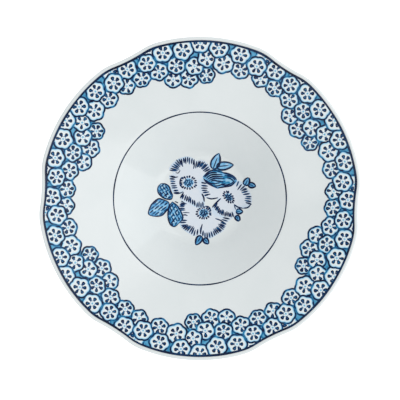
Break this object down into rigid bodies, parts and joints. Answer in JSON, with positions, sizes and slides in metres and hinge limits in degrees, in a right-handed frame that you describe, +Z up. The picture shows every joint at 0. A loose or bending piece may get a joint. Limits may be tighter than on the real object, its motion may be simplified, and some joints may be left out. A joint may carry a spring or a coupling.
{
  "type": "porcelain serving bowl",
  "caption": "Wide-rimmed porcelain serving bowl with a scalloped lip, a deep round well, a foot ring, and blossom prints in blue on the rim and floor.",
  "frame": {"origin": "middle of the plane that the foot ring stands on, on the bowl's axis", "axes": "+Z up along the bowl's axis, from the foot towards the open mouth; +X to the right and +Y away from someone looking down into it with the bud of the spray to their upper right"},
  "size_m": [0.3026, 0.305, 0.0611],
  "materials": {
    "biscuit": "matt unglazed porcelain",
    "clear_glaze": "gloss",
    "line_blue": "gloss",
    "print_blue": "gloss"
  },
  "bodies": {
    "root": {"border_print_1": "print_blue", "border_print_2": "print_blue", "border_print_3": "print_blue", "border_print_4": "print_blue", "border_print_5": "print_blue", "border_print_6": "print_blue", "bowl_body": "biscuit", "bud_print": "print_blue", "flower_print_1": "print_blue", "flower_print_2": "print_blue", "flower_print_3": "print_blue", "foot_ring": "biscuit", "glaze_back": "clear_glaze", "glaze_face": "clear_glaze", "glaze_recess": "clear_glaze", "leaf_print_1": "print_blue", "leaf_print_2": "print_blue", "leaf_print_3": "print_blue", "leaf_print_4": "print_blue", "leaf_print_5": "print_blue", "leaflet_print_1": "print_blue", "leaflet_print_2": "print_blue", "leaflet_print_3": "print_blue", "leaflet_print_4": "print_blue", "leaflet_print_5": "print_blue", "leaflet_print_6": "print_blue", "rim_line": "line_blue", "verge_line": "line_blue"}
  },
  "joints": []
}
